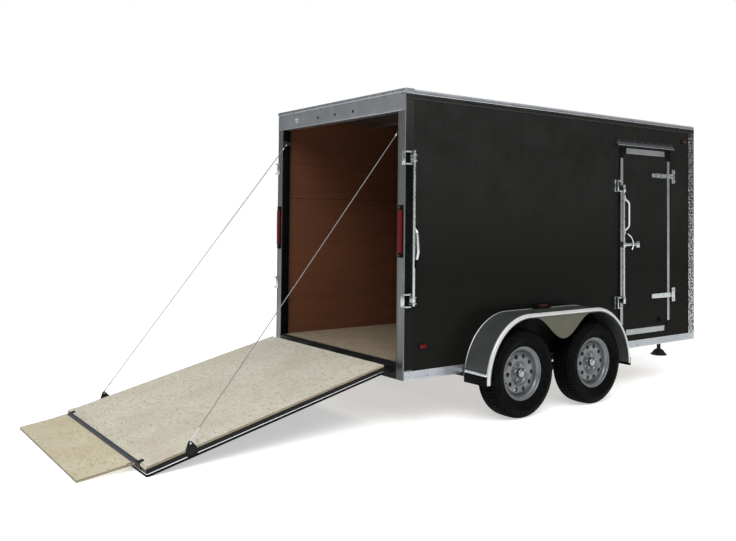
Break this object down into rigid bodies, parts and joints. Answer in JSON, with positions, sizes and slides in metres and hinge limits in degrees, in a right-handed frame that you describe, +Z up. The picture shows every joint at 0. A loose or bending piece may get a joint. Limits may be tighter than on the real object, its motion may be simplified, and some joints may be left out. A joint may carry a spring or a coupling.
{
  "type": "enclosed cargo trailer",
  "caption": "Tandem-axle enclosed cargo trailer with a box body, side door, rear ramp with a fold-out flap, fendered wheels and a tongue jack.",
  "frame": {"origin": "on the ground under the middle of the whole trailer's length and width, with the ramp let down", "axes": "+X towards the coupler, +Y to the trailer's left side, +Z up; the side door is on the -Y side"},
  "size_m": [7.0256, 2.3746, 2.484],
  "materials": {
    "charcoal_skin": "semi-gloss",
    "mill_aluminium": "satin",
    "tread_plate": "bright",
    "black_steel": "satin",
    "zinc_steel": "zinc plated",
    "plywood": "stained",
    "strand_board": "unfinished",
    "tyre_rubber": "matt",
    "silver_paint": "metallic",
    "red_lens": "clear red",
    "amber_lens": "clear amber",
    "wire_rope": "stranded"
  },
  "bodies": {
    "trailer": {"wall_left": "charcoal_skin", "wall_right": "charcoal_skin", "wall_front": "charcoal_skin", "roof": "mill_aluminium", "rear_header": "mill_aluminium", "rear_post_left": "mill_aluminium", "rear_post_right": "mill_aluminium", "bottom_trim_left": "mill_aluminium", "bottom_trim_right": "mill_aluminium", "fender_left": "mill_aluminium", "fender_right": "mill_aluminium", "drip_cap": "mill_aluminium", "stone_guard": "tread_plate", "main_frame": "black_steel", "rear_sill": "black_steel", "tongue_frame": "black_steel", "coupler": "black_steel", "jack_leg": "black_steel", "axle_rear": "black_steel", "axle_front": "black_steel", "suspension_left": "black_steel", "suspension_right": "black_steel", "jack_tube": "zinc_steel", "rear_lock_left": "zinc_steel", "rear_lock_right": "zinc_steel", "hinge_plate_upper": "zinc_steel", "hinge_plate_lower": "zinc_steel", "lining_left": "plywood", "lining_right": "plywood", "lining_front": "plywood", "floor_deck": "strand_board", "tail_light_left": "red_lens", "tail_light_right": "red_lens", "marker_rear_left": "red_lens", "marker_rear_right": "red_lens", "marker_front_left": "amber_lens", "marker_front_right": "amber_lens", "fender_lamp_left": "amber_lens", "fender_lamp_right": "amber_lens", "cable_left": "wire_rope", "cable_right": "wire_rope"},
    "side_door": {"side_door": "charcoal_skin", "side_door_trim": "mill_aluminium", "door_strap_upper": "zinc_steel", "door_strap_lower": "zinc_steel", "door_lock": "zinc_steel", "door_grab_handle": "zinc_steel"},
    "ramp": {"ramp_skin": "charcoal_skin", "ramp_frame": "black_steel", "ramp_deck": "strand_board"},
    "flap": {"flap_panel": "strand_board", "flap_hinge": "zinc_steel"},
    "wheel_rear_left": {"tyre_rear_left": "tyre_rubber", "rim_rear_left": "silver_paint"},
    "wheel_rear_right": {"tyre_rear_right": "tyre_rubber", "rim_rear_right": "silver_paint"},
    "wheel_front_left": {"tyre_front_left": "tyre_rubber", "rim_front_left": "silver_paint"},
    "wheel_front_right": {"tyre_front_right": "tyre_rubber", "rim_front_right": "silver_paint"}
  },
  "joints": [
    {"name": "wheel_rear_left_spin", "type": "hinge", "parent": "trailer", "child": "wheel_rear_left", "pos_m": [-0.30718, 1.06, 0.343], "axis": [0, 1, 0], "continuous": true},
    {"name": "wheel_rear_right_spin", "type": "hinge", "parent": "trailer", "child": "wheel_rear_right", "pos_m": [-0.30718, -1.06, 0.343], "axis": [0, 1, 0], "continuous": true},
    {"name": "wheel_front_left_spin", "type": "hinge", "parent": "trailer", "child": "wheel_front_left", "pos_m": [0.54282, 1.06, 0.343], "axis": [0, 1, 0], "continuous": true},
    {"name": "wheel_front_right_spin", "type": "hinge", "parent": "trailer", "child": "wheel_front_right", "pos_m": [0.54282, -1.06, 0.343], "axis": [0, 1, 0], "continuous": true},
    {"name": "side_door_hinge", "type": "hinge", "parent": "trailer", "child": "side_door", "pos_m": [1.95882, -0.9423, 1.3875], "axis": [0, 0, 1], "range_deg": [0, 175]},
    {"name": "ramp_hinge", "type": "hinge", "parent": "trailer", "child": "ramp", "pos_m": [-1.34718, 0, 0.43], "axis": [0, 1, 0], "range_deg": [0, 103.54], "deforming": ["cable_left", "cable_right"]},
    {"name": "flap_fold", "type": "hinge", "parent": "ramp", "child": "flap", "pos_m": [-3.16433, 0, 0.06544], "axis": [0, 1, 0], "range_deg": [0, 174.23]}
  ],
  "couplings": [
    {"joint": "flap_fold", "follows": "ramp_hinge", "ratio": 1.6827}
  ]
}
